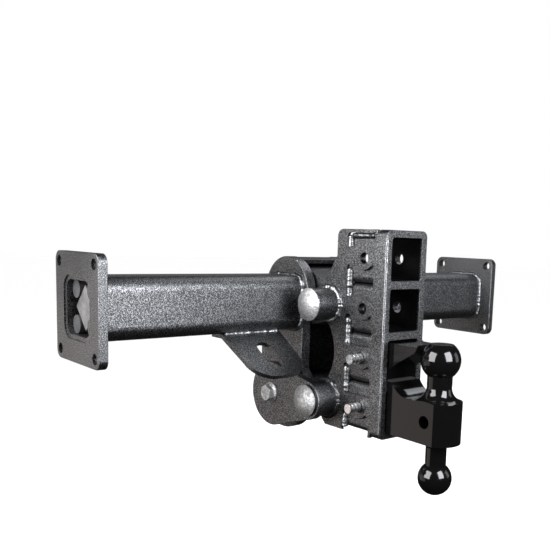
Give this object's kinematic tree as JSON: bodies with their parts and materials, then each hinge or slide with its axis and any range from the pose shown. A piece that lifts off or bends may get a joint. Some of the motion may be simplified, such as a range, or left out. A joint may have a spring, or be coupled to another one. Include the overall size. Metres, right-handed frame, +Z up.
{
  "type": "weight distribution hitch",
  "caption": "Torsion-sprung receiver hitch: crossmember with end plates, parallelogram arms, stacked receiver, ball mount, pintle lock and hitch pins.",
  "frame": {"origin": "on the torsion bar's axis, half-way along the crossmember", "axes": "+X along the crossmember, +Z up, and -Y to the rear of the vehicle, the way the receiver's openings face"},
  "size_m": [0.8256, 0.4026, 0.3849],
  "materials": {
    "hammered_coat": "semi-gloss hammered powder coat with a fine silver fleck",
    "zinc": "zinc plated, blotchy",
    "stainless": "turned stainless",
    "gloss_black": "gloss black powder coat",
    "rubber": "matt rubber",
    "bush_plastic": "moulded plastic",
    "bare_steel": "mill-finished steel"
  },
  "bodies": {
    "crossmember": {"cross_tube_left": "hammered_coat", "cross_tube_right": "hammered_coat", "end_plate_left": "hammered_coat", "end_plate_right": "hammered_coat", "bracket_plate_left": "hammered_coat", "bracket_plate_right": "hammered_coat", "bracket_cover": "hammered_coat", "pivot_housing": "hammered_coat", "hub_bush_left": "bush_plastic", "hub_bush_right": "bush_plastic", "pivot_bush_left": "bush_plastic", "pivot_bush_right": "bush_plastic", "rubber_cords_left": "rubber", "rubber_cords_right": "rubber", "chain_plate_left": "hammered_coat", "chain_plate_right": "hammered_coat"},
    "upper_arm": {"upper_arm": "hammered_coat", "torsion_bar": "bare_steel", "eye_bush_left": "bush_plastic", "eye_bush_right": "bush_plastic"},
    "receiver": {"receiver_tube_1": "hammered_coat", "receiver_tube_2": "hammered_coat", "receiver_tube_3": "hammered_coat", "receiver_tube_4": "hammered_coat", "receiver_collar": "hammered_coat", "cheek_left": "hammered_coat", "cheek_right": "hammered_coat", "upper_boss_left": "hammered_coat", "upper_boss_right": "hammered_coat", "lower_boss_left": "hammered_coat", "lower_boss_right": "hammered_coat", "upper_pin": "zinc", "upper_pin_cap": "zinc", "lower_pin": "zinc", "lower_pin_cap": "zinc", "dual_ball_mount": "gloss_black", "pintle_lock": "gloss_black"},
    "lower_arms": {"lower_arm_left": "hammered_coat", "lower_arm_right": "hammered_coat", "pivot_sleeve": "bare_steel", "pivot_spacers": "hammered_coat", "pivot_bolt": "zinc", "pivot_nut": "zinc"},
    "hitch_pin_upper": {"hitch_pin_upper": "stainless"},
    "hitch_pin_lower": {"hitch_pin_lower": "stainless"}
  },
  "joints": [
    {"name": "torsion_hinge", "type": "hinge", "parent": "crossmember", "child": "upper_arm", "pos_m": [0, 0, 0], "axis": [1, 0, 0], "range_deg": [-15, 20], "stiffness_Nm_per_rad": 2500, "springref_deg": -0.77, "deforming": ["rubber_cords_left", "rubber_cords_right"]},
    {"name": "receiver_hinge", "type": "hinge", "parent": "upper_arm", "child": "receiver", "pos_m": [0, -0.09525, 0.0034], "axis": [1, 0, 0], "range_deg": [-20, 15]},
    {"name": "lower_arm_hinge", "type": "hinge", "parent": "crossmember", "child": "lower_arms", "pos_m": [0, 0, -0.1524], "axis": [1, 0, 0], "range_deg": [-15, 20]},
    {"name": "hitch_pin_upper_slide", "type": "slide", "parent": "receiver", "child": "hitch_pin_upper", "axis": [1, 0, 0], "range_m": [0, 0.115]},
    {"name": "hitch_pin_lower_slide", "type": "slide", "parent": "receiver", "child": "hitch_pin_lower", "axis": [1, 0, 0], "range_m": [0, 0.115]}
  ],
  "couplings": [
    {"joint": "receiver_hinge", "follows": "torsion_hinge", "ratio": -1},
    {"joint": "lower_arm_hinge", "follows": "torsion_hinge", "ratio": 1}
  ]
}
